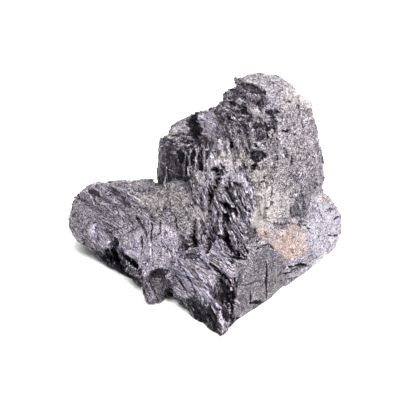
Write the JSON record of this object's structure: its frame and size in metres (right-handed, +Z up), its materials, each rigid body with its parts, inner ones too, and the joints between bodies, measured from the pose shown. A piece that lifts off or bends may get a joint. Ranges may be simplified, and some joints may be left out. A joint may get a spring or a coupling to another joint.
{
  "type": "galena specimen",
  "caption": "Loose hand specimen of massive galena: a cleaved, stepped mass with a tower, a shoulder, a long low arm and a pointed prow, standing on a flat base.",
  "frame": {"origin": "centre of the bounding box's bottom face, on the flat face that the specimen rests on", "axes": "+Z up from the resting face, +X along the specimen's width from the low arm to the tower and wing, -Y towards the pointed prow at the front"},
  "size_m": [0.1002, 0.0782, 0.0726],
  "materials": {
    "galena": "semi-metallic lead grey with bright cleavage faces, dark crevices and beige weathering dust"
  },
  "bodies": {
    "root": {"galena_mass": "galena"}
  },
  "joints": []
}
